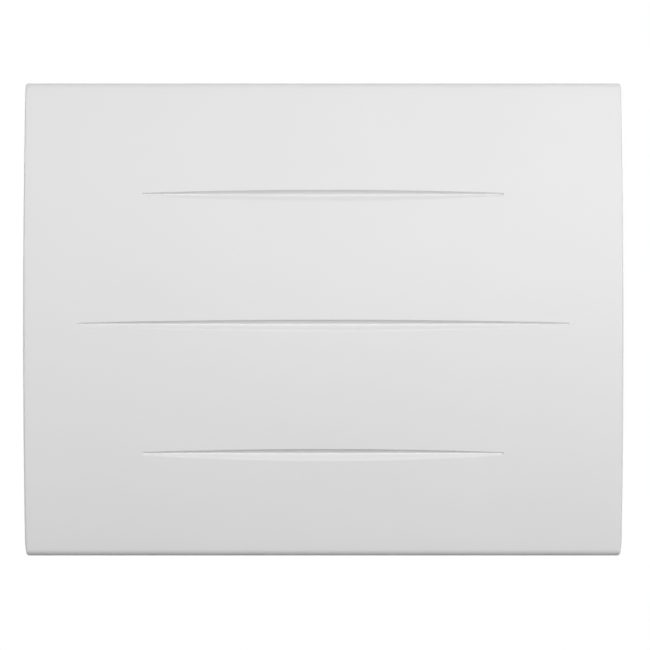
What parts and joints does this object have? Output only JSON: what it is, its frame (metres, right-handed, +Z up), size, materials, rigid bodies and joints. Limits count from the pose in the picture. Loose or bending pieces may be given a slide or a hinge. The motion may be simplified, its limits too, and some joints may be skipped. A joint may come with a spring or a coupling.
{
  "type": "electric panel radiator",
  "caption": "Wall-hung electric panel radiator: bowed steel front with lens-shaped pressed grooves, air grilles, top controls, heaters inside and a lift-off bracket.",
  "frame": {"origin": "centre of the wall bracket's four screw holes, on the wall plane, level with the middle of the front", "axes": "+X along the wall to the right as seen from the room, +Y into the wall, +Z up"},
  "size_m": [0.735, 0.12, 0.5866],
  "materials": {
    "panel_white": "fine textured powder coat",
    "casing_white": "satin powder coat",
    "galvanised": "galvanised",
    "zinc_plated": "zinc plated",
    "spring_steel": "blued",
    "aluminium_plate": "mill finish",
    "aluminium_extrusion": "dull extruded",
    "aluminised_sheet": "aluminised",
    "heater_sheath": "heat-tinted",
    "film_amber": "translucent film",
    "ceramic": "unglazed",
    "fascia_grey": "fine texture",
    "housing_plastic": "moulded",
    "window_clear": "clear",
    "lcd_dark": "display",
    "board_green": "solder mask",
    "switch_black": "moulded",
    "relay_blue": "moulded",
    "terminal_grey": "moulded",
    "button_white": "satin",
    "gland_black": "moulded",
    "pad_rubber": "matt",
    "clip_white": "moulded",
    "probe_black": "epoxy",
    "lead_brown": "insulated",
    "lead_blue": "insulated",
    "lead_earth": "insulated",
    "lead_white": "insulated"
  },
  "bodies": {
    "wall_bracket": {"bracket_upright_left": "galvanised", "bracket_upright_right": "galvanised", "bracket_rail_upper": "galvanised", "bracket_rail_lower": "galvanised", "bracket_rivets": "zinc_plated", "spring_catch_left": "spring_steel", "spring_catch_right": "spring_steel", "catch_rivets": "zinc_plated"},
    "appliance": {"front_panel": "panel_white", "rear_casing": "casing_white", "top_grille": "casing_white", "bottom_grille": "casing_white", "heater_bracket_left": "galvanised", "heater_bracket_right": "galvanised", "panel_screws": "zinc_plated", "grille_screws": "zinc_plated", "heater_screws": "zinc_plated", "housing_screws": "zinc_plated", "board_screws": "zinc_plated", "shield_standoffs": "zinc_plated", "earth_stud": "zinc_plated", "radiant_plate": "aluminium_plate", "heater_profile_upper": "aluminium_extrusion", "heater_profile_lower": "aluminium_extrusion", "heat_shield": "aluminised_sheet", "heater_rod_upper": "heater_sheath", "heater_rod_lower": "heater_sheath", "heating_film": "film_amber", "heater_bushes": "ceramic", "plate_spacers": "ceramic", "thermal_cutout": "ceramic", "control_fascia": "fascia_grey", "control_housing": "housing_plastic", "display_window": "window_clear", "lcd_module": "lcd_dark", "control_board": "board_green", "power_switch_body": "switch_black", "tact_switches": "switch_black", "power_relay": "relay_blue", "terminal_block": "terminal_grey", "cable_gland": "gland_black", "gland_nut": "gland_black", "bumper_pads": "pad_rubber", "panel_clips": "clip_white", "sensor_holder": "clip_white", "room_sensor": "probe_black", "live_lead": "lead_brown", "cutout_lead": "lead_brown", "heater_link_lead": "lead_brown", "neutral_lead": "lead_blue", "earth_lead": "lead_earth", "film_leads": "lead_white", "sensor_lead": "lead_white"},
    "button_mode": {"button_mode": "button_white"},
    "button_minus": {"button_minus": "button_white"},
    "button_plus": {"button_plus": "button_white"},
    "button_program": {"button_program": "button_white"},
    "button_confirm": {"button_confirm": "button_white"},
    "power_switch_rocker": {"power_switch_rocker": "switch_black"}
  },
  "joints": [
    {"name": "lift_off", "type": "slide", "parent": "wall_bracket", "child": "appliance", "axis": [0, 0, 1], "range_m": [0, 0.012], "deforming": ["spring_catch_left", "spring_catch_right"]},
    {"name": "power_rocker", "type": "hinge", "parent": "appliance", "child": "power_switch_rocker", "pos_m": [0.3615, -0.046, 0.18], "axis": [0, 1, 0], "range_deg": [-18, 0]},
    {"name": "press_mode", "type": "slide", "parent": "appliance", "child": "button_mode", "axis": [0, 0, -1], "range_m": [0, 0.0012], "stiffness_N_per_m": 700},
    {"name": "press_minus", "type": "slide", "parent": "appliance", "child": "button_minus", "axis": [0, 0, -1], "range_m": [0, 0.0012], "stiffness_N_per_m": 700},
    {"name": "press_plus", "type": "slide", "parent": "appliance", "child": "button_plus", "axis": [0, 0, -1], "range_m": [0, 0.0012], "stiffness_N_per_m": 700},
    {"name": "press_program", "type": "slide", "parent": "appliance", "child": "button_program", "axis": [0, 0, -1], "range_m": [0, 0.0012], "stiffness_N_per_m": 700},
    {"name": "press_confirm", "type": "slide", "parent": "appliance", "child": "button_confirm", "axis": [0, 0, -1], "range_m": [0, 0.0012], "stiffness_N_per_m": 700}
  ]
}
